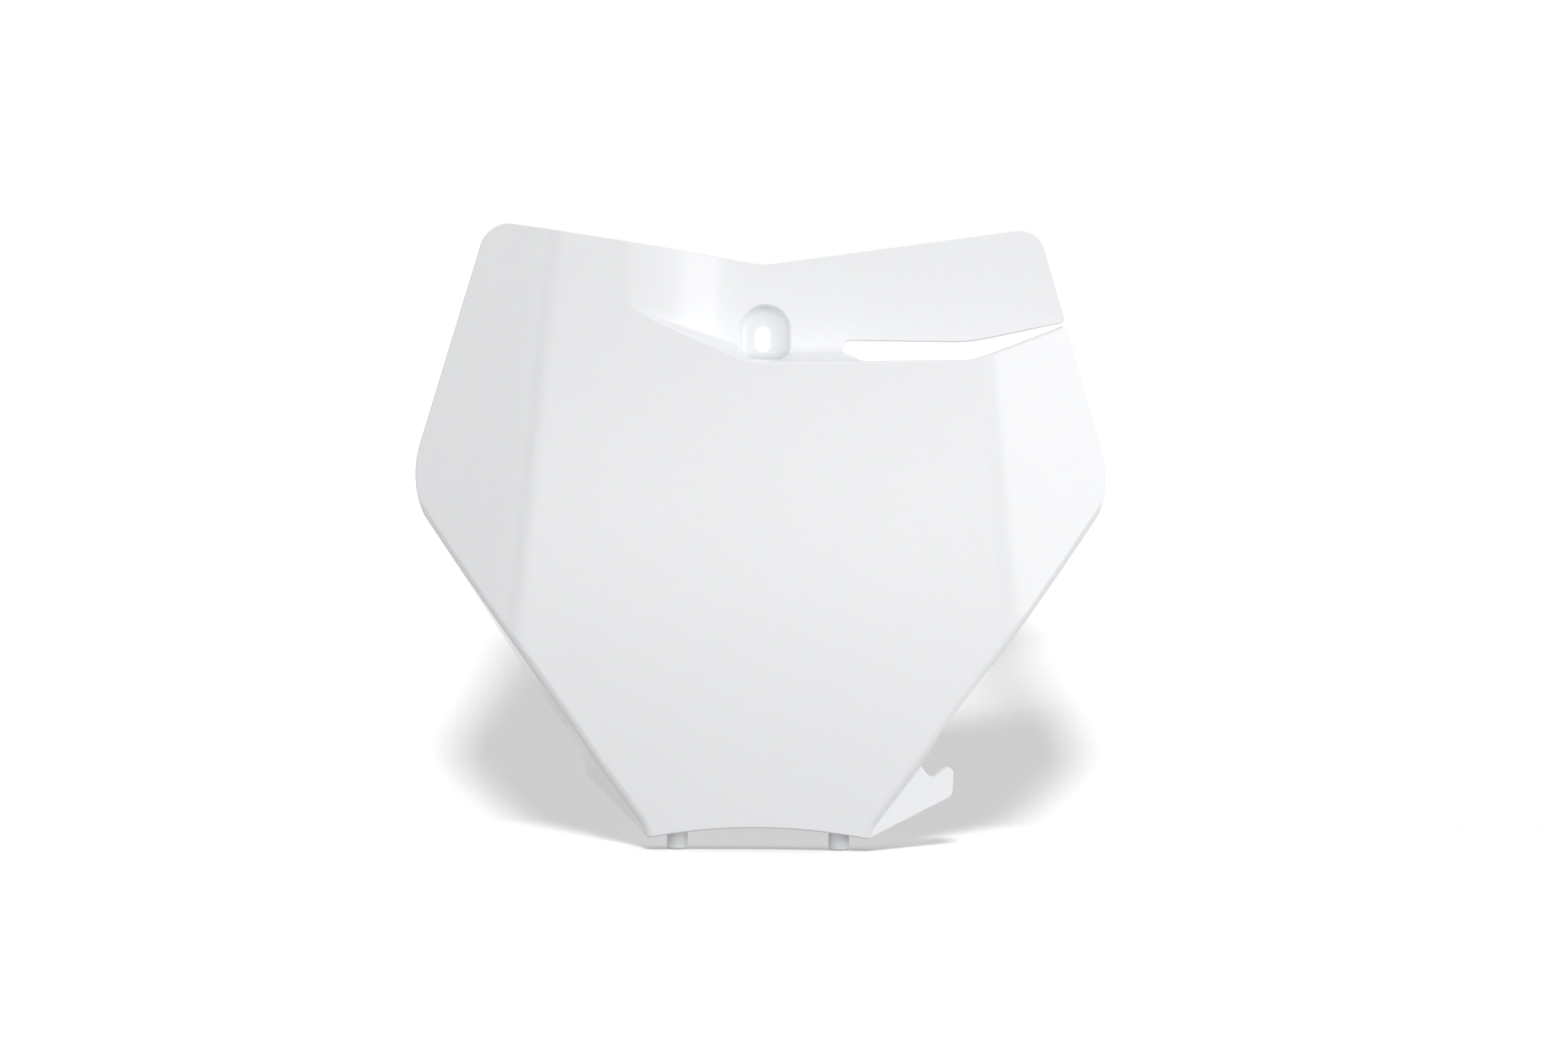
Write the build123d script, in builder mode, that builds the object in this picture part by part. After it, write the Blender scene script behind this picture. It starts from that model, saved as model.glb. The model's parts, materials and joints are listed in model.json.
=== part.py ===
from build123d import *
import os
from math import asin, atan, cos, degrees, radians, sin, sqrt, tan

# Racing number board for the front of an off-road motorbike, one white moulding, in millimetres.
# The origin is the middle of the bolt slot, on the rear face of its pocket, where the board seats.
# Seen from the front, X runs right and Z up, and the front faces -Y.

# Wall, folds and edges
wall = 2.2
fold_radius = 3.5
step_radius = 1.0
edge_chamfer = 0.5

# Front panel and wings in plan: a crowned panel, a bend at each side and a straight wing
panel_y = -24.5
crown_radius = 700.0
wing_angle = 27.0
bend_top_x = 75.5
bend_top_radius = 28.0
bend_low_x = 98.5
bend_low_radius = 50.0
plan_top_z = 60.0
plan_low_z = -210.0

# Outline from the front
top_corner_x = 106.6
top_corner_z = 44.6
valley_z = 28.7
side_corner_x = 137.7
side_corner_z = -59.6
top_left_radius = 11.5
top_right_radius = 10.0
valley_radius = 20.0
side_corner_radius = 40.0

# Lower sides: a flange that widens to a flap at the left foot and carries a hook at the right foot
flange_rear_y = 6.5
flange_slope = 0.666
flange_top_z = -76.0
fold_x = 136.6
flap_flare = 17.0
flap_start_z = -150.0
flap_full_z = -164.0
turn_x = 44.0
turn_z = -186.5
turn_radius = 13.0
foot_x = 42.3
foot_z = -192.0
hook_out = 6.3
hook_depth = 1.0
hook_tilt = 21.0
hook_reach = 50.0

# Set-back top strip: an S-bend in plan, and the ledge under it
strip_x = -52.0
strip_crease = 6.0
strip_lead_radius = 50.0
strip_ramp_angle = 27.0
strip_tail_radius = 30.0
strip_setback = 16.8
tab_angle = 3.2
ledge_angle = 14.5
ledge_radius = 2.6
step_tip_z = 10.6
step_corner_x = -5.3
step_corner_z = -9.6
step_corner_radius = 25.0
step_bend_radius = 18.0

# Hose slot between the tab and the panel
slot_front_x = 38.2
slot_front_radius = 8.0
slot_back_x = 31.1
slot_back_z = -4.4
slot_back_radius = 1.0
slot_top_z = -0.4
slot_end_radius = 3.0
slot_bend_x = 80.3
slot_low_z = -7.3
slot_close_z = 8.7
slot_beyond = 4.0
slot_top_radius = 60.0
slot_low_radius = 18.0
slot_lip = 0.4
slot_front_lip = 0.55
tab_corner_radius = 2.0
panel_corner_radius = 3.0

# Bolt pocket and its slot
pocket_x = 0.8
pocket_half = 9.2
pocket_arc_z = 3.5
pocket_low_z = -7.8
pocket_corner_radius = 5.0
pocket_floor = 2.5
pocket_draft = 2.0
pocket_floor_radius = 2.5
pocket_rim_chamfer = 0.7
bolt_slot_width = 6.0
bolt_slot_length = 10.0

# Trimmed edges of the flap, the hook and the flange's right end
flap_cut_z = -131.0
flap_high_x = 68.2
flap_high_z = -159.2
flap_high_radius = 8.0
flap_low_x = 66.9
flap_low_z = -169.8
flap_low_radius = 4.0
hook_low_x = 75.1
hook_low_z = -176.3
hook_low_radius = 4.0
hook_tip_x = 76.0
hook_tip_z = -162.4
hook_tip_radius = 2.6
throat_x = 66.4
throat_z = -169.5
throat_radius = 2.2
hook_root_x = 62.6
hook_root_z = -164.4
hook_root_radius = 3.0
hook_neck_x = 69.3
hook_neck_z = -150.9
flange_end_x = 88.9
flange_end_z = -125.1
flange_end_radius = 1.0

# Foot: a shelf along the arched lower edge with two pegs under it
foot_arch = 4.2
shelf_rear_y = -5.0
peg_x = 31.15
peg_y = -12.0
peg_diameter = 8.0
peg_end_z = -197.2
peg_lead = 0.8
peg_seat_diameter = 10.0

# Size of the blanks that the outlines are cut from, and limits that pick out faces and edges
blank_x = 160.0
blank_y = 60.0
blank_top_z = 70.0
blank_low_z = -230.0
facing = 0.8
sideways = 0.3
slight = 0.1
touch = 0.001


def crown_y(x):
    """Depth of the crowned panel's front face at one place across it."""
    return panel_y + crown_radius - sqrt(crown_radius**2 - x**2)


def plan_section(height, share, inset):
    """Horizontal section of the panel and wings: share runs from 0 at the plan's top to 1 at its low end."""
    bend_x = bend_top_x + (bend_low_x - bend_top_x) * share
    bend_radius = bend_top_radius + (bend_low_radius - bend_top_radius) * share
    crown_half = degrees(asin(bend_x / crown_radius))
    centre_y = panel_y + crown_radius
    inner_radius = crown_radius - bend_radius
    bend_centre_x = inner_radius * sin(radians(crown_half))
    bend_centre_y = centre_y - inner_radius * cos(radians(crown_half))
    turn = wing_angle - crown_half
    with BuildSketch(Plane.XY.offset(height)) as section:
        with BuildLine():
            left = CenterArc((-bend_centre_x, bend_centre_y), bend_radius - inset, -90 - wing_angle, turn)
            CenterArc((0, centre_y), crown_radius - inset, -90 - crown_half, 2 * crown_half)
            right = CenterArc((bend_centre_x, bend_centre_y), bend_radius - inset, -90 + crown_half, turn)
            tip_y = (right @ 1).Y + (blank_x - (right @ 1).X) * tan(radians(wing_angle))
            Polyline(right @ 1, (blank_x, tip_y), (blank_x, blank_y), (-blank_x, blank_y), (-blank_x, tip_y), left @ 0)
        make_face()
    return section.sketch.face()


def arch_z(x):
    """Height of the arched lower edge at one place across it."""
    arch_radius = (foot_x**2 + foot_arch**2) / (2 * foot_arch)
    return foot_z + foot_arch - arch_radius + sqrt(arch_radius**2 - x**2)


def panel_blank(inset):
    """Everything behind the front of the panel and wings, set in by an inset."""
    with BuildPart() as blank:
        loft([plan_section(plan_top_z, 0, inset), plan_section(plan_low_z, 1, inset)], ruled=True)
    return blank.part


def carry(x, z, turn, out):
    """A point moved square to a side line that leans by a turn."""
    return Vector(x + out * cos(turn), z - out * sin(turn))


def side_rows(inset):
    """Front and rear lines of the right and the left lower side, as rows of points from the top to the foot."""
    fold_slope = (fold_x - turn_x) / (side_corner_z - turn_z)
    fold_turn = atan(fold_slope)
    foot_turn = atan((turn_x - foot_x) / (turn_z - foot_z))
    corner_turn = (fold_turn + foot_turn) / 2
    corner_share = 1 / cos((fold_turn - foot_turn) / 2)
    flap_out = (flange_rear_y - panel_y) * tan(radians(flap_flare))
    low_x = foot_x - tan(foot_turn) * (foot_z - blank_low_z)

    def fold(z, out):
        return carry(fold_x - fold_slope * (side_corner_z - z), z, fold_turn, out - inset)

    def rear(z):
        return carry(side_corner_x - flange_slope * (side_corner_z - z), z, atan(flange_slope), -inset)

    def foot(out):
        corner = carry(turn_x, turn_z, corner_turn, (out - inset) * corner_share)
        return [corner, carry(low_x, blank_low_z, foot_turn, out - inset)]

    right_front = [fold(blank_top_z, 0)] + foot(0)
    right_rear = [rear(blank_top_z)] + foot(hook_out)
    left_front = [fold(z, 0) for z in (blank_top_z, flap_start_z, flap_full_z)] + foot(0)
    left_rear = [rear(blank_top_z), rear(flap_start_z), fold(flap_full_z, flap_out)] + foot(flap_out)
    return (right_front, right_rear), (left_front, left_rear)


def side_blank(inset):
    """Everything between the lower sides, set in by an inset, from in front of the panel to behind the flange."""
    faces = []
    for depth in (panel_y - fold_radius, flange_rear_y + inset):
        share = (depth - panel_y) / (flange_rear_y - panel_y)
        right, left = [
            [front + (rear - front) * share for front, rear in zip(*rows)] for rows in side_rows(inset)
        ]
        points = right + [Vector(-point.X, point.Y) for point in left[::-1]]
        radii = [0] * len(points)
        radii[len(right) - 2] = turn_radius + inset
        radii[len(right) + 1] = turn_radius + inset
        with BuildSketch(Plane.XZ.offset(-depth)) as section:
            with BuildLine():
                FilletPolyline(*points, radius=radii, close=True)
            make_face()
        faces.append(section.sketch.face())
    with BuildPart() as blank:
        loft(faces, ruled=True)
    return blank.part


def front_faces(solid):
    """Faces of the panel and wings, which look to the front."""
    return solid.faces().filter_by(lambda face: face.normal_at().Y < -facing)


def folded_blank(inset):
    """The panel and wings with their lower sides folded back, set in by an inset."""
    with BuildPart() as blank:
        add(panel_blank(inset))
        add(side_blank(inset), mode=Mode.INTERSECT)
        sides = blank.faces().filter_by(
            lambda face: abs(face.normal_at().X) > sideways and abs(face.normal_at().Y) < facing
        )
        fillet(front_faces(blank).edges() & sides.edges(), fold_radius - inset)
    return blank.part


def strip_front(growth):
    """Everything in front of the top strip's S-bend, moved back by a wall's thickness for the rear face."""
    start_angle = strip_crease - degrees(asin(-strip_x / crown_radius))
    lead_turn = strip_ramp_angle - start_angle
    tail_turn = strip_ramp_angle - tab_angle
    lead_depth = strip_lead_radius * (cos(radians(start_angle)) - cos(radians(strip_ramp_angle)))
    tail_depth = strip_tail_radius * (cos(radians(tab_angle)) - cos(radians(strip_ramp_angle)))
    ramp_depth = panel_y + strip_setback - crown_y(strip_x) - lead_depth - tail_depth
    start_way = Vector(1, 0).rotate(Axis.Z, start_angle)
    start = Vector(strip_x, crown_y(strip_x)) + start_way.rotate(Axis.Z, 90) * growth
    before = start - start_way * (blank_x + strip_x)
    with BuildPart() as front:
        with BuildSketch(Plane.XY.offset(-blank_y)):
            with BuildLine():
                Line(before, start)
                lead = JernArc(start, start_way, strip_lead_radius - growth, lead_turn)
                ramp = PolarLine(lead @ 1, ramp_depth / sin(radians(strip_ramp_angle)), strip_ramp_angle)
                tail = JernArc(ramp @ 1, ramp % 1, strip_tail_radius + growth, -tail_turn)
                tab = PolarLine(tail @ 1, blank_x, tab_angle)
                Polyline(tab @ 1, ((tab @ 1).X, -blank_y), (before.X, -blank_y), before)
            make_face()
        extrude(amount=blank_y + blank_top_z)
    return front.part


def above_ledge(points, radii, drop):
    """Everything above a ledge that rises to the rear from a line drawn at the panel, lowered by a drop."""
    reach = blank_y + panel_y
    fall = drop / cos(radians(ledge_angle)) + reach * tan(radians(ledge_angle))
    start = Plane((0, panel_y - reach, -fall), x_dir=(1, 0, 0), z_dir=(0, -1, 0))
    with BuildPart() as space:
        with BuildSketch(start):
            with BuildLine():
                line = FilletPolyline(*points, radius=radii)
                Polyline(line @ 1, (points[-1][0], blank_top_z), (points[0][0], blank_top_z), line @ 0)
            make_face()
        extrude(amount=2 * blank_y, dir=(0, cos(radians(ledge_angle)), sin(radians(ledge_angle))))
    return space.part


def inner_corner(solid):
    """Edges where a strip cut's front and its ledge meet."""
    front = solid.faces().filter_by(lambda face: abs(face.normal_at().Z) < slight and face.normal_at().Y > facing)
    ledge = solid.faces().filter_by(lambda face: face.normal_at().Z < -facing)
    return front.edges() & ledge.edges()


def hook_rim(point):
    """Whether a point of the hook plate lies on its free rim."""
    across = (point.X - hook_root_x) * (foot_z - hook_root_z) - (point.Z - hook_root_z) * (foot_x - hook_root_x)
    return across < -touch


def meeting_edges(solid, first, second):
    """Edges of a solid that lie in one group of faces and in another."""
    return solid.edges().filter_by(
        lambda edge: all(min(face.distance_to(edge @ 0.5) for face in group) < touch for group in (first, second))
    )


# Front surface of the panel, wings and folded sides
core = folded_blank(0)

# Space in front of the top strip and above its ledge
step_slope = (step_tip_z - step_corner_z) / (step_corner_x - strip_x)
ledge_slope = tan(radians(ledge_angle))
side_slope = (side_corner_x + edge_chamfer - top_corner_x) / (top_corner_z - side_corner_z)
slot_close_x = top_corner_x + side_slope * (top_corner_z - slot_close_z) + slot_beyond
slot_top_slope = (slot_close_z - slot_top_z) / (slot_close_x - slot_bend_x)
slot_low_slope = (slot_close_z - slot_low_z) / (slot_close_x - slot_bend_x)
step_bend_z = slot_low_z - slot_lip - ledge_slope * (crown_y(slot_bend_x) - panel_y)
step_rise_slope = slot_low_slope - ledge_slope * tan(radians(wing_angle))
step_run = (step_bend_z - step_corner_z) / (slot_bend_x - step_corner_x)
slot_start_z = step_corner_z + step_run * (slot_front_x - step_corner_x)
slot_front_z = slot_start_z + ledge_slope * (crown_y(slot_front_x) - panel_y) + slot_front_lip
step_points = [
    (-blank_x, step_corner_z + step_slope * (step_corner_x + blank_x)),
    (step_corner_x, step_corner_z),
    (slot_bend_x, step_bend_z),
    (blank_x, step_bend_z + step_rise_slope * (blank_x - slot_bend_x)),
]
with BuildPart() as strip:
    add(strip_front(0))
    add(above_ledge(step_points, (step_corner_radius, step_bend_radius), 0), mode=Mode.INTERSECT)
    fillet(inner_corner(strip), ledge_radius)
strip_faces = strip.faces().filter_by(lambda face: face.normal_at().Y > slight)

# Same space grown by the wall, for the strip's rear face: under the tab it ends in the middle of the hose slot
with BuildPart() as strip_rear:
    add(above_ledge(step_points[:2] + [(slot_front_x, slot_start_z)], step_corner_radius, wall))
    with BuildSketch(Plane.XZ.offset(blank_y)):
        with BuildLine():
            middle_z = (slot_top_z + slot_low_z) / 2
            middle_slope = (slot_top_slope + slot_low_slope) / 2
            Polyline(
                (slot_front_x, middle_z),
                (slot_bend_x, middle_z),
                (blank_x, middle_z + middle_slope * (blank_x - slot_bend_x)),
                (blank_x, blank_top_z),
                (slot_front_x, blank_top_z),
                close=True,
            )
        make_face()
    extrude(amount=-2 * blank_y)
    add(strip_front(wall), mode=Mode.INTERSECT)
    rear_corner = inner_corner(strip_rear).filter_by(lambda edge: (edge @ 0.5).X < slot_front_x)
    fillet(rear_corner, ledge_radius + wall)

# Outline from the front, with the hose slot and the rounded corners at its open end
with BuildPart() as outline:
    with BuildSketch(Plane.XZ.offset(blank_y)) as outline_sketch:
        with BuildLine():
            low_z = 2 * flange_top_z - side_corner_z
            low_x = side_corner_x + flange_slope * (low_z - side_corner_z) + edge_chamfer
            line = FilletPolyline(
                (-low_x, blank_low_z),
                (-low_x, low_z),
                (-side_corner_x - edge_chamfer, side_corner_z),
                (-top_corner_x, top_corner_z),
                (0, valley_z),
                (top_corner_x, top_corner_z),
                (side_corner_x + edge_chamfer, side_corner_z),
                (low_x, low_z),
                (low_x, blank_low_z),
                radius=(0, side_corner_radius, top_left_radius, valley_radius, top_right_radius, side_corner_radius, 0),
            )
            Line(line @ 1, line @ 0)
        make_face()
        with BuildLine():
            FilletPolyline(
                (slot_front_x, slot_front_z),
                (slot_bend_x, slot_low_z),
                (slot_close_x, slot_close_z),
                (slot_bend_x, slot_top_z),
                (slot_back_x, slot_top_z),
                (slot_back_x, slot_back_z),
                radius=(slot_front_radius, slot_low_radius, 0, slot_top_radius, slot_end_radius, slot_back_radius),
                close=True,
            )
        make_face(mode=Mode.SUBTRACT)
        end_points = outline_sketch.vertices().sort_by_distance((slot_close_x, slot_close_z))[:2]
        panel_end, tab_end = end_points.sort_by(Axis.Y)
        fillet(tab_end, tab_corner_radius)
        fillet(outline_sketch.vertices().sort_by_distance(panel_end)[0], panel_corner_radius)
    extrude(amount=-2 * blank_y)
outline_faces = outline.faces().filter_by(lambda face: abs(face.normal_at().Y) < slight)

# Bolt pocket, and the boss that stands behind it
with BuildSketch() as pocket_outline:
    with BuildLine():
        line = FilletPolyline(
            (pocket_x + pocket_half, pocket_arc_z),
            (pocket_x + pocket_half, pocket_low_z),
            (pocket_x - pocket_half, pocket_low_z),
            (pocket_x - pocket_half, pocket_arc_z),
            radius=pocket_corner_radius,
        )
        ThreePointArc(line @ 1, (pocket_x, pocket_arc_z + pocket_half), line @ 0)
    make_face()
with BuildPart() as pocket:
    with BuildSketch(Plane.XZ.offset(pocket_floor)):
        add(pocket_outline.sketch)
    extrude(amount=blank_y, taper=-pocket_draft)
    fillet(pocket.faces().sort_by(Axis.Y)[-1].edges(), pocket_floor_radius)
pocket_faces = pocket.faces().filter_by(lambda face: abs(face.normal_at().Y) < slight)
with BuildPart() as boss:
    with BuildSketch(Plane.XZ):
        add(pocket_outline.sketch)
        offset(amount=wall, mode=Mode.REPLACE)
    extrude(amount=blank_y, taper=-pocket_draft)

# Solid form of the board behind its finished front
with BuildPart() as front_form:
    add(core)
    add(strip.part, mode=Mode.SUBTRACT)
    add(outline.part, mode=Mode.INTERSECT)
    fillet(meeting_edges(front_form, front_faces(core), strip_faces), step_radius)
    chamfer(meeting_edges(front_form, outline_faces, front_faces(core) + strip_faces), edge_chamfer)
    add(pocket.part, mode=Mode.SUBTRACT)
    chamfer(meeting_edges(front_form, pocket_faces, strip_faces), pocket_rim_chamfer)

# Hollow behind the front: open above the flange and at the rear, closed by the shelf along the foot
with BuildPart() as hollow:
    add(panel_blank(wall))
    with BuildSketch(Plane.XZ.offset(-flange_rear_y - wall)):
        with Locations((0, flange_top_z)):
            Rectangle(2 * blank_x, blank_top_z - flange_top_z, align=(Align.CENTER, Align.MIN))
    extrude(amount=2 * blank_y, mode=Mode.INTERSECT)
    add(folded_blank(wall))
    add(strip_rear.part, mode=Mode.SUBTRACT)
    add(boss.part, mode=Mode.SUBTRACT)
    with BuildSketch(Plane.XZ.offset(blank_y)):
        with BuildLine():
            arch = ThreePointArc((-blank_x, foot_z + wall), (0, foot_z + foot_arch + wall), (blank_x, foot_z + wall))
            Polyline(arch @ 1, (blank_x, blank_low_z), (-blank_x, blank_low_z), arch @ 0)
        make_face()
    extrude(amount=-blank_y - shelf_rear_y, mode=Mode.SUBTRACT)

# Lower outline from the front, as the line of points and radii that trims the hook
hook_points = [(hook_low_x, hook_low_z), (hook_tip_x, hook_tip_z), (throat_x, throat_z), (hook_root_x, hook_root_z)]
hook_radii = (hook_low_radius, hook_tip_radius, throat_radius)

# Hook plate, which leans out beside the foot and has a chamfered rim
with BuildPart() as hook:
    lean = atan((fold_x - turn_x) / (side_corner_z - turn_z))
    tilt = radians(hook_tilt)
    hook_plane = Plane(
        (foot_x, crown_y(foot_x) + hook_depth, foot_z),
        x_dir=(cos(lean), 0, -sin(lean)),
        z_dir=(sin(tilt) * sin(lean), -cos(tilt), sin(tilt) * cos(lean)),
    )
    with BuildSketch(hook_plane):
        Rectangle(2 * hook_reach, 2 * hook_reach)
    extrude(amount=-wall)
    with BuildSketch(Plane.XZ.offset(blank_y)):
        with BuildLine():
            rim = FilletPolyline((foot_x, foot_z), *hook_points, radius=hook_radii)
            root_z = foot_z + wall + foot_arch
            Polyline(rim @ 1, (hook_root_x - 2 * wall, hook_root_z), (foot_x - 2 * wall, root_z), rim @ 0)
        make_face()
    extrude(amount=-2 * blank_y, mode=Mode.INTERSECT)
    rim_edges = front_faces(hook).edges().filter_by(lambda edge: hook_rim(edge @ 0.5))
    chamfer(rim_edges, edge_chamfer)

# Board: the foot is trimmed, the hook plate is added, then the front form is hollowed
with BuildPart() as board:
    add(front_form.part)
    with BuildSketch(Plane.XZ.offset(blank_y)):
        with BuildLine():
            left = FilletPolyline(
                (-blank_x, flap_cut_z),
                (-side_corner_x - flange_slope * (flap_cut_z - side_corner_z), flap_cut_z),
                (-flap_high_x, flap_high_z),
                (-flap_low_x, flap_low_z),
                (-foot_x, foot_z),
                radius=(0, flap_high_radius, flap_low_radius),
            )
            ThreePointArc((-foot_x, foot_z), (0, foot_z + foot_arch), (foot_x, foot_z))
            right = FilletPolyline(
                (foot_x, foot_z),
                *hook_points,
                (hook_neck_x, hook_neck_z),
                (flange_end_x, flange_end_z),
                (blank_x, flange_end_z),
                radius=(*hook_radii, hook_root_radius, 0, flange_end_radius),
            )
            Polyline(right @ 1, (blank_x, 2 * blank_low_z), (-blank_x, 2 * blank_low_z), left @ 0)
        make_face()
    extrude(amount=-2 * blank_y, mode=Mode.SUBTRACT)
    arch_face = board.faces().filter_by(GeomType.CYLINDER).sort_by(Axis.Z)[0]
    arch_edge = (front_faces(board).edges() & arch_face.edges()).sort_by(SortBy.LENGTH)[-1]
    chamfer(arch_edge, edge_chamfer)
    add(hook.part)
    add(hollow.part, mode=Mode.SUBTRACT)
    with BuildSketch(Plane.XZ):
        SlotOverall(bolt_slot_length, bolt_slot_width, rotation=90)
    extrude(amount=blank_y, mode=Mode.SUBTRACT)
    peg_seat_z = arch_z(peg_x - (peg_diameter + peg_seat_diameter) / 4)
    with BuildSketch(Plane.XY.offset(peg_end_z)):
        with Locations((-peg_x, peg_y), (peg_x, peg_y)):
            Circle(peg_seat_diameter / 2)
    extrude(amount=peg_seat_z - peg_end_z, mode=Mode.SUBTRACT)
    with BuildSketch(Plane.XY.offset(peg_end_z)):
        with Locations((-peg_x, peg_y), (peg_x, peg_y)):
            Circle(peg_diameter / 2)
    extrude(amount=peg_seat_z - peg_end_z)
    peg_ends = board.edges().filter_by(GeomType.CIRCLE).filter_by(lambda edge: (edge @ 0).Z < peg_end_z + touch)
    chamfer(peg_ends, peg_lead)

os.makedirs("parts", exist_ok=True)
board.part.label = "number_board"
export_step(board.part, "parts/number_board.step")
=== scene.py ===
"""Studio scene of a white racing number board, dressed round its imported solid.

The board is one moulding, so its solid is shown as it is and gets the finish of gloss white plastic.
The script adds a pale sweep for it to stand on, soft studio light and a camera nearly square to its front.
All lengths are metres in the frame of the solid: X right, Z up, and the front faces -Y.
"""

import json
import logging
import math
from dataclasses import dataclass, field
from enum import Enum

import bpy
from mathutils import Matrix, Vector

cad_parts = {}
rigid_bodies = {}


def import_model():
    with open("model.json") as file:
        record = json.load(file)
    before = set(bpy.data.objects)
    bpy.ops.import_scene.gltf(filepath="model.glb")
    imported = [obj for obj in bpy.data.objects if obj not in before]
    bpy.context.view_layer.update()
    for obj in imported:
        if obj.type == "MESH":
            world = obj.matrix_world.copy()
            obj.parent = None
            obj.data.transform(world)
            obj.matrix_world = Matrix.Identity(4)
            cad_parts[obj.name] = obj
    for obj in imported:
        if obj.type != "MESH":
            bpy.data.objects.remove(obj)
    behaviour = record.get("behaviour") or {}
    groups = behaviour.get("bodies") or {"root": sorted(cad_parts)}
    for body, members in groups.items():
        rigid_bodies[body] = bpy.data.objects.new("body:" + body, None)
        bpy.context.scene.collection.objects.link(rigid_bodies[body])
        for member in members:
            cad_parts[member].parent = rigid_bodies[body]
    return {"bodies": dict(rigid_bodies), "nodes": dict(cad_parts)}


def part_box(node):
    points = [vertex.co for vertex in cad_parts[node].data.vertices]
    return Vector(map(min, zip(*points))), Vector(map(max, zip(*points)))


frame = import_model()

Colour = tuple[float, float, float]
Point = tuple[float, float, float]

LOG = logging.getLogger("number_board")
BOARD_NODE = "number_board"
BOARD_MIDDLE: Point = (0.0, 0.0, -0.07)
BOARD_LOWER_HALF: Point = (0.0, 0.0, -0.1)
TOUCH = 0.0001


class Reach(Enum):
    """What a lamp of the studio lights."""

    BOARD = "board_light"
    PAPER = "paper_light"


class Ray(Enum):
    """The light path outputs of the rays that see the plain white surround."""

    CAMERA = "Is Camera Ray"
    GLOSSY = "Is Glossy Ray"
    TRANSMISSION = "Is Transmission Ray"


def rgba(colour: Colour) -> tuple[float, float, float, float]:
    """Returns a colour with full opacity, as the colour sockets take it."""
    return (*colour, 1.0)


class NodeBench:
    """A small bench for wiring one node tree by hand."""

    def __init__(self, tree: bpy.types.NodeTree) -> None:
        """Takes a tree and empties it.

        Args:
            tree: The node tree of a material or a world.
        """
        self.tree = tree
        self.tree.nodes.clear()

    def add(self, kind: str, **settings: object) -> bpy.types.Node:
        """Adds a node and sets its properties.

        Args:
            kind: The node's type name.
            settings: Values for the node's own properties.

        Returns:
            The new node.
        """
        node = self.tree.nodes.new(kind)
        for name, value in settings.items():
            setattr(node, name, value)
        return node

    def wire(self, source: bpy.types.NodeSocket, target: bpy.types.NodeSocket) -> None:
        """Joins an output socket to an input socket."""
        self.tree.links.new(source, target)

    def noise(
        self, place: bpy.types.NodeSocket, scale: float, detail: float, distortion: float = 0.0
    ) -> bpy.types.NodeSocket:
        """Adds a noise texture.

        Args:
            place: The socket of the coordinates.
            scale: About how many patches lie along a metre.
            detail: How many finer layers lie over the first.
            distortion: How far the patches are pulled about.

        Returns:
            A mask from nought to one.
        """
        texture = self.add("ShaderNodeTexNoise")
        texture.inputs["Scale"].default_value = scale
        texture.inputs["Detail"].default_value = detail
        texture.inputs["Distortion"].default_value = distortion
        self.wire(place, texture.inputs["Vector"])
        return texture.outputs["Fac"]

    def seen(self) -> bpy.types.NodeSocket:
        """Adds up the light paths of the rays that see the surround.

        Returns:
            A mask that is one for those rays and nought for all others.
        """
        path = self.add("ShaderNodeLightPath")
        total, *others = [path.outputs[ray.value] for ray in Ray]
        for other in others:
            sum_node = self.add("ShaderNodeMath", operation="ADD", use_clamp=True)
            self.wire(total, sum_node.inputs[0])
            self.wire(other, sum_node.inputs[1])
            total = sum_node.outputs[0]
        return total

    def choose(
        self, mask: bpy.types.NodeSocket, nought: bpy.types.NodeSocket, one: bpy.types.NodeSocket
    ) -> bpy.types.NodeSocket:
        """Mixes two shaders by a mask.

        Args:
            mask: The socket of the mask.
            nought: The shader where the mask is nought.
            one: The shader where the mask is one.

        Returns:
            The socket of the mixed shader.
        """
        mix = self.add("ShaderNodeMixShader")
        self.wire(mask, mix.inputs["Fac"])
        self.wire(nought, mix.inputs[1])
        self.wire(one, mix.inputs[2])
        return mix.outputs["Shader"]


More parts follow.
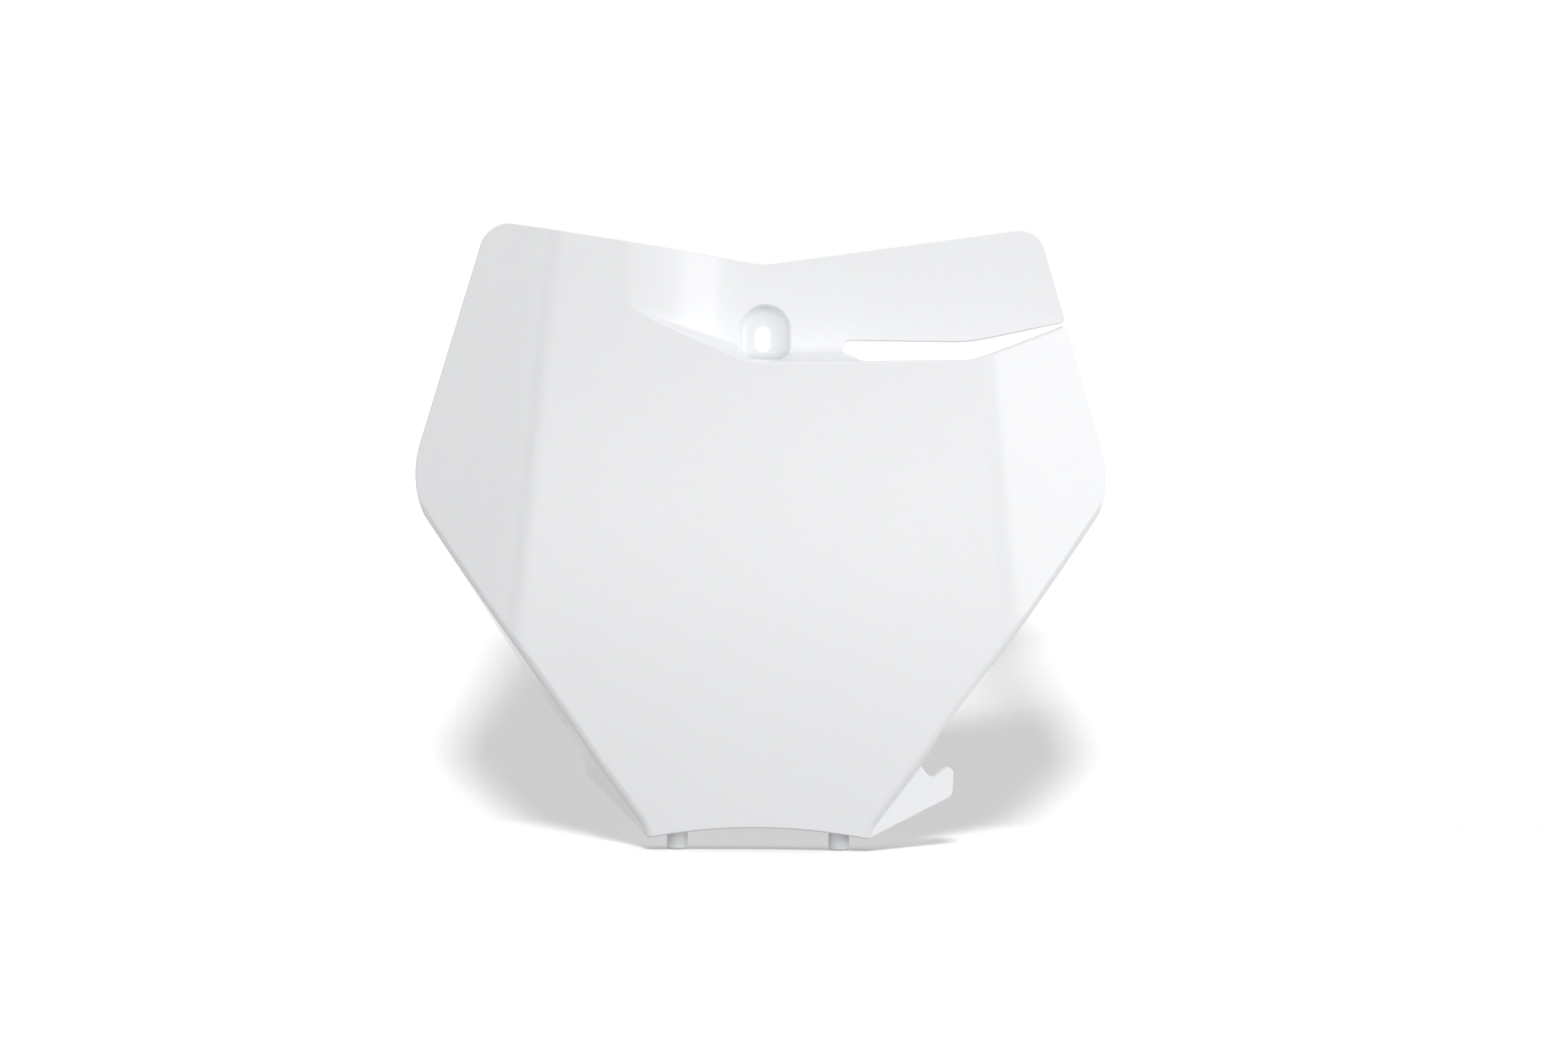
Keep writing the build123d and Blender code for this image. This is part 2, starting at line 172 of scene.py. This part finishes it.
@dataclass(frozen=True)
class GlossMoulding:
    """Gloss white polypropylene as it leaves a polished mould, with a satin rear.

    The rear is told from the front by the Y of a face's normal: its finish starts at rear_start and is
    full at rear_full.
    """

    name: str = "gloss_white_moulding"
    pale: Colour = (0.860, 0.868, 0.880)
    deep: Colour = (0.838, 0.850, 0.866)
    front_roughness: float = 0.20
    rear_roughness: float = 0.42
    roughness_spread: float = 0.03
    ior: float = 1.49
    subsurface: float = 0.10
    subsurface_reach: float = 0.0015
    rear_start: float = 0.35
    rear_full: float = 0.60
    flow_scale: float = 9.0
    flow_detail: float = 3.0
    flow_distortion: float = 0.6
    flow_stretch: Point = (1.0, 1.0, 0.45)
    peel_scale: float = 420.0
    peel_detail: float = 1.0
    grain_scale: float = 2600.0
    grain_detail: float = 2.0
    relief_strength: float = 1.0
    relief_depth: float = 0.000004

    def material(self) -> bpy.types.Material:
        """Builds the finish.

        Returns:
            The material with its node tree.
        """
        made = bpy.data.materials.new(self.name)
        made.use_nodes = True
        bench = NodeBench(made.node_tree)
        place = bench.add("ShaderNodeTexCoord")
        shader = bench.add("ShaderNodeBsdfPrincipled")
        shader.inputs["IOR"].default_value = self.ior
        shader.inputs["Subsurface Weight"].default_value = self.subsurface
        shader.inputs["Subsurface Scale"].default_value = self.subsurface_reach
        flow = self._flow(bench, place)
        rear = self._rear(bench, place)
        bench.wire(self._colour(bench, flow), shader.inputs["Base Color"])
        bench.wire(self._roughness(bench, flow, rear), shader.inputs["Roughness"])
        bench.wire(self._relief(bench, place, rear), shader.inputs["Normal"])
        out = bench.add("ShaderNodeOutputMaterial")
        bench.wire(shader.outputs["BSDF"], out.inputs["Surface"])
        return made

    def _flow(self, bench: NodeBench, place: bpy.types.Node) -> bpy.types.NodeSocket:
        """Lays out the broad, faint streaks where the melt flowed.

        Args:
            bench: The material's bench.
            place: The texture coordinate node.

        Returns:
            A mask from nought to one that changes slowly.
        """
        stretch = bench.add("ShaderNodeMapping")
        stretch.inputs["Scale"].default_value = self.flow_stretch
        bench.wire(place.outputs["Object"], stretch.inputs["Vector"])
        return bench.noise(
            stretch.outputs["Vector"], self.flow_scale, self.flow_detail, self.flow_distortion
        )

    def _rear(self, bench: NodeBench, place: bpy.types.Node) -> bpy.types.NodeSocket:
        """Finds the faces that look to the rear, where the mould was only blasted.

        Args:
            bench: The material's bench.
            place: The texture coordinate node.

        Returns:
            A mask that is one on the rear.
        """
        split = bench.add("ShaderNodeSeparateXYZ")
        bench.wire(place.outputs["Normal"], split.inputs["Vector"])
        ramp = bench.add("ShaderNodeMapRange", clamp=True)
        ramp.inputs["From Min"].default_value = self.rear_start
        ramp.inputs["From Max"].default_value = self.rear_full
        bench.wire(split.outputs["Y"], ramp.inputs["Value"])
        return ramp.outputs["Result"]

    def _colour(self, bench: NodeBench, flow: bpy.types.NodeSocket) -> bpy.types.NodeSocket:
        """Mixes the two whites along the flow.

        Args:
            bench: The material's bench.
            flow: The flow mask.

        Returns:
            The colour socket.
        """
        blend = bench.add("ShaderNodeMix", data_type="RGBA")
        blend.inputs["A"].default_value = rgba(self.deep)
        blend.inputs["B"].default_value = rgba(self.pale)
        bench.wire(flow, blend.inputs["Factor"])
        return blend.outputs["Result"]

    def _roughness(
        self, bench: NodeBench, flow: bpy.types.NodeSocket, rear: bpy.types.NodeSocket
    ) -> bpy.types.NodeSocket:
        """Sets gloss in front, satin at the rear and a slight change along the flow.

        Args:
            bench: The material's bench.
            flow: The flow mask.
            rear: The mask of the rear faces.

        Returns:
            The roughness socket.
        """
        sides = bench.add("ShaderNodeMapRange")
        sides.inputs["To Min"].default_value = self.front_roughness
        sides.inputs["To Max"].default_value = self.rear_roughness
        bench.wire(rear, sides.inputs["Value"])
        drift = bench.add("ShaderNodeMath", operation="MULTIPLY_ADD")
        drift.inputs[1].default_value = self.roughness_spread
        bench.wire(flow, drift.inputs[0])
        bench.wire(sides.outputs["Result"], drift.inputs[2])
        return drift.outputs[0]

    def _relief(
        self, bench: NodeBench, place: bpy.types.Node, rear: bpy.types.NodeSocket
    ) -> bpy.types.NodeSocket:
        """Adds the faint peel of the gloss side and the fine grain of the rear.

        Args:
            bench: The material's bench.
            place: The texture coordinate node.
            rear: The mask of the rear faces.

        Returns:
            The normal socket.
        """
        peel = bench.noise(place.outputs["Object"], self.peel_scale, self.peel_detail)
        grain = bench.noise(place.outputs["Object"], self.grain_scale, self.grain_detail)
        height = bench.add("ShaderNodeMix", data_type="FLOAT")
        bench.wire(rear, height.inputs["Factor"])
        bench.wire(peel, height.inputs["A"])
        bench.wire(grain, height.inputs["B"])
        bump = bench.add("ShaderNodeBump")
        bump.inputs["Strength"].default_value = self.relief_strength
        bump.inputs["Distance"].default_value = self.relief_depth
        bench.wire(height.outputs["Result"], bump.inputs["Height"])
        return bump.outputs["Normal"]


@dataclass(frozen=True)
class PaleSweep:
    """Matt white paper that the camera sees as white, and that keeps the shadow."""

    name: str = "pale_sweep_paper"
    paper: Colour = (0.30, 0.30, 0.30)
    shown: Colour = (0.80, 0.80, 0.80)
    glow: float = 0.26

    def material(self) -> bpy.types.Material:
        """Builds the finish.

        Returns:
            The material, which lets rays through from behind.
        """
        made = bpy.data.materials.new(self.name)
        made.use_nodes = True
        bench = NodeBench(made.node_tree)
        face = bench.choose(bench.seen(), self._matt(bench, self.paper), self._shown(bench))
        behind = bench.add("ShaderNodeNewGeometry")
        clear = bench.add("ShaderNodeBsdfTransparent")
        sheet = bench.choose(behind.outputs["Backfacing"], face, clear.outputs["BSDF"])
        out = bench.add("ShaderNodeOutputMaterial")
        bench.wire(sheet, out.inputs["Surface"])
        return made

    def _matt(self, bench: NodeBench, colour: Colour) -> bpy.types.NodeSocket:
        """Adds matt paper.

        Args:
            bench: The material's bench.
            colour: The paper's colour.

        Returns:
            The shader socket.
        """
        matt = bench.add("ShaderNodeBsdfDiffuse")
        matt.inputs["Color"].default_value = rgba(colour)
        return matt.outputs["BSDF"]

    def _shown(self, bench: NodeBench) -> bpy.types.NodeSocket:
        """Adds the brighter paper that the camera sees, with a glow that softens its shadow.

        Args:
            bench: The material's bench.

        Returns:
            The shader socket.
        """
        lift = bench.add("ShaderNodeEmission")
        lift.inputs["Strength"].default_value = self.glow
        both = bench.add("ShaderNodeAddShader")
        bench.wire(self._matt(bench, self.shown), both.inputs[0])
        bench.wire(lift.outputs["Emission"], both.inputs[1])
        return both.outputs["Shader"]


@dataclass
class NumberBoard:
    """The board itself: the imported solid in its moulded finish."""

    node: str = BOARD_NODE
    finish: GlossMoulding = GlossMoulding()

    def dress(self) -> bpy.types.Object:
        """Gives the solid its finish.

        Returns:
            The board's object.
        """
        board = frame["nodes"][self.node]
        material = self.finish.material()
        for slot in board.material_slots:
            slot.material = material
        return board

    def foot_height(self) -> float:
        """Returns the height of the lowest point of the board, where its pegs stand."""
        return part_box(self.node)[0].z


@dataclass
class Sweep:
    """A sheet of paper that lies flat under the board and sweeps up behind it."""

    width: float = 2.6
    front: float = -1.2
    flat_end: float = 0.10
    rise_deg: float = 70.0
    rise_radius: float = 0.15
    back_run: float = 1.6
    steps: int = 24
    weld: float = 1e-5
    finish: PaleSweep = PaleSweep()

    def build(self, height: float) -> bpy.types.Object:
        """Models the sheet.

        Args:
            height: The height of the flat part.

        Returns:
            The sheet's object.
        """
        bpy.ops.object.select_all(action="DESELECT")
        middle = (self.front + self.flat_end) / 2
        bpy.ops.mesh.primitive_plane_add(size=1.0, location=(0.0, middle, height))
        sheet = bpy.context.object
        sheet.name = "paper_sweep"
        sheet.scale = (self.width, self.flat_end - self.front, 1.0)
        bpy.ops.object.transform_apply(location=True, rotation=True, scale=True)
        self._raise_back(sheet, height)
        sheet.data.materials.append(self.finish.material())
        shade_smooth(sheet)
        return sheet

    def _raise_back(self, sheet: bpy.types.Object, height: float) -> None:
        """Spins the rear edge up and draws it back along the slope.

        Args:
            sheet: The flat sheet.
            height: The height of the flat part.
        """
        pick(sheet, self.flat_end)
        bpy.ops.object.mode_set(mode="EDIT")
        rise = math.radians(self.rise_deg)
        bpy.ops.mesh.spin(
            steps=self.steps,
            angle=-rise,
            center=(0.0, self.flat_end, height + self.rise_radius),
            axis=(1.0, 0.0, 0.0),
        )
        run = (0.0, self.back_run * math.cos(rise), self.back_run * math.sin(rise))
        bpy.ops.mesh.extrude_region_move(TRANSFORM_OT_translate={"value": run})
        bpy.ops.mesh.select_all(action="SELECT")
        bpy.ops.mesh.remove_doubles(threshold=self.weld)
        bpy.ops.mesh.normals_make_consistent(inside=False)
        bpy.ops.object.mode_set(mode="OBJECT")
        if sheet.data.polygons[0].normal.z < 0:
            sheet.data.flip_normals()


@dataclass(frozen=True)
class Softbox:
    """One soft lamp of the studio."""

    name: str
    place: Point
    aim: Point
    width: float
    height: float
    watts: float
    reach: Reach = Reach.BOARD

    def build(self, lit: bpy.types.Collection, shading: bpy.types.Collection) -> bpy.types.Object:
        """Hangs the lamp.

        Args:
            lit: The collection of what the lamp lights.
            shading: The collection of what casts shadows in its light.

        Returns:
            The lamp's object.
        """
        lamp = bpy.data.lights.new(self.name, "AREA")
        lamp.shape = "RECTANGLE"
        lamp.size = self.width
        lamp.size_y = self.height
        lamp.energy = self.watts
        holder = bpy.data.objects.new(self.name, lamp)
        bpy.context.scene.collection.objects.link(holder)
        holder.location = self.place
        line = Vector(self.aim) - Vector(self.place)
        holder.rotation_euler = line.to_track_quat("-Z", "Y").to_euler()
        holder.light_linking.receiver_collection = lit
        holder.light_linking.blocker_collection = shading
        return holder


@dataclass
class Studio:
    """The surround: ambient light, soft lamps and the paper sweep."""

    ambient: Colour = (0.98, 0.99, 1.0)
    ambient_strength: float = 0.45
    backdrop: Colour = (1.0, 1.0, 1.0)
    lamps: tuple[Softbox, ...] = (
        Softbox(
            "left_softbox", place=(-1.4, -1.0, 0.3), aim=BOARD_MIDDLE, width=0.9, height=1.2, watts=5.2
        ),
        Softbox(
            "right_softbox", place=(1.5, -0.75, 0.35), aim=BOARD_MIDDLE, width=0.9, height=1.2, watts=10.2
        ),
        Softbox(
            "right_front_softbox",
            place=(1.1, -1.4, 0.35),
            aim=BOARD_MIDDLE,
            width=0.9,
            height=1.2,
            watts=3.8,
        ),
        Softbox(
            "front_softbox",
            place=(0.0, -1.9, 0.35),
            aim=(0.0, 0.0, -0.08),
            width=1.6,
            height=1.0,
            watts=3.4,
        ),
        Softbox(
            "low_front_softbox",
            place=(0.0, -1.5, -0.1),
            aim=BOARD_LOWER_HALF,
            width=1.6,
            height=0.15,
            watts=2.6,
        ),
        Softbox(
            "top_softbox", place=(0.0, -0.15, 1.3), aim=BOARD_LOWER_HALF, width=1.2, height=0.6, watts=2.6
        ),
        Softbox(
            "rear_left_softbox", place=(-0.8, 1.3, 0.9), aim=BOARD_MIDDLE, width=0.9, height=0.9, watts=6.5
        ),
        Softbox(
            "rear_right_softbox", place=(1.0, 1.2, 0.4), aim=BOARD_MIDDLE, width=0.9, height=1.2, watts=8.0
        ),
        Softbox(
            "paper_softbox",
            place=(-0.12, -3.2, 2.1),
            aim=(0.0, 0.1, -0.15),
            width=0.7,
            height=0.5,
            watts=138.0,
            reach=Reach.PAPER,
        ),
    )
    sweep: Sweep = field(default_factory=Sweep)

    def light(self, board: bpy.types.Object, sheet: bpy.types.Object) -> list[bpy.types.Object]:
        """Hangs the lamps, each linked to what it lights; only the board casts shadows.

        Args:
            board: The board's object.
            sheet: The sheet under it.

        Returns:
            The lamps' objects.
        """
        lit = {Reach.BOARD: board, Reach.PAPER: sheet}
        shelves = {reach: bpy.data.collections.new(reach.value) for reach in lit}
        for reach, shelf in shelves.items():
            shelf.objects.link(lit[reach])
        return [lamp.build(shelves[lamp.reach], shelves[Reach.BOARD]) for lamp in self.lamps]

    def surround(self) -> None:
        """Sets the world, which looks plain white and lights more softly than it looks."""
        world = bpy.data.worlds.new("white_surround")
        bpy.context.scene.world = world
        world.use_nodes = True
        bench = NodeBench(world.node_tree)
        soft = bench.add("ShaderNodeBackground")
        soft.inputs["Color"].default_value = rgba(self.ambient)
        soft.inputs["Strength"].default_value = self.ambient_strength
        white = bench.add("ShaderNodeBackground")
        white.inputs["Color"].default_value = rgba(self.backdrop)
        sky = bench.choose(bench.seen(), soft.outputs["Background"], white.outputs["Background"])
        out = bench.add("ShaderNodeOutputWorld")
        bench.wire(sky, out.inputs["Surface"])


@dataclass
class FrontCamera:
    """A camera almost square to the front, a touch to the right, above and rolled.

    The focal length is in pixels of a picture that is picture_width_px wide.
    """

    yaw_deg: float = -1.319
    elevation_deg: float = 1.0
    roll_deg: float = 0.601
    target: Point = (0.009006, 0.0, -0.071033)
    distance: float = 1.5
    focal_px: float = 5790.0
    picture_width_px: int = 2352
    sensor_width_mm: float = 36.0

    def build(self) -> bpy.types.Object:
        """Sets the camera up.

        Returns:
            The camera's object, made the scene's own.
        """
        lens = bpy.data.cameras.new("front_camera")
        lens.sensor_width = self.sensor_width_mm
        lens.lens = self.focal_px / self.picture_width_px * self.sensor_width_mm
        holder = bpy.data.objects.new("front_camera", lens)
        bpy.context.scene.collection.objects.link(holder)
        turn = self._turn()
        eye = Vector(self.target) + turn.col[2] * self.distance
        holder.matrix_world = Matrix.Translation(eye) @ turn.to_4x4()
        bpy.context.scene.camera = holder
        return holder

    def _turn(self) -> Matrix:
        """Works out which way the camera looks.

        Returns:
            The rotation, whose columns point right, up and back to the eye.
        """
        yaw = math.radians(self.yaw_deg)
        lift = math.radians(self.elevation_deg)
        roll = math.radians(self.roll_deg)
        level_run = math.cos(lift)
        ahead = Vector((-math.sin(yaw) * level_run, math.cos(yaw) * level_run, -math.sin(lift)))
        level = Vector((math.cos(yaw), math.sin(yaw), 0.0))
        fall = ahead.cross(level)
        right = math.cos(roll) * level - math.sin(roll) * fall
        down = math.sin(roll) * level + math.cos(roll) * fall
        return Matrix((right, -down, -ahead)).transposed()


def shade_smooth(piece: bpy.types.Object) -> None:
    """Shades a piece smoothly, with nothing else selected.

    Args:
        piece: The object to shade.
    """
    bpy.ops.object.select_all(action="DESELECT")
    piece.select_set(True)
    bpy.context.view_layer.objects.active = piece
    bpy.ops.object.shade_smooth()


def pick(piece: bpy.types.Object, depth: float) -> None:
    """Selects the edges of a flat piece that lie at one depth, and nothing else.

    Args:
        piece: The object, in object mode.
        depth: The Y of the edges.
    """
    mesh = piece.data
    mesh.polygons.foreach_set("select", [False] * len(mesh.polygons))
    near = [abs(vertex.co.y - depth) < TOUCH for vertex in mesh.vertices]
    mesh.vertices.foreach_set("select", near)
    mesh.edges.foreach_set("select", [all(near[end] for end in edge.vertices) for edge in mesh.edges])


def clear_startup() -> None:
    """Takes away the objects that a new file starts with."""
    kept = set(frame["nodes"].values()) | set(frame["bodies"].values())
    for item in list(bpy.data.objects):
        if item not in kept:
            bpy.data.objects.remove(item)


def main() -> None:
    """Builds the scene in order and reports each piece."""
    logging.basicConfig(level=logging.INFO, format="%(name)s: %(message)s")
    clear_startup()
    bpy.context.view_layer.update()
    bpy.context.scene.view_settings.view_transform = "Standard"
    camera = FrontCamera().build()
    LOG.info("camera %s with a %.1f mm lens", camera.name, camera.data.lens)
    board = NumberBoard()
    dressed = board.dress()
    LOG.info("board %s in %s", dressed.name, board.finish.name)
    studio = Studio()
    sheet = studio.sweep.build(board.foot_height())
    LOG.info("stage %s at %.4f m", sheet.name, board.foot_height())
    lamps = studio.light(dressed, sheet)
    studio.surround()
    LOG.info("lamps %s", ", ".join(lamp.name for lamp in lamps))


if __name__ == "__main__":
    main()
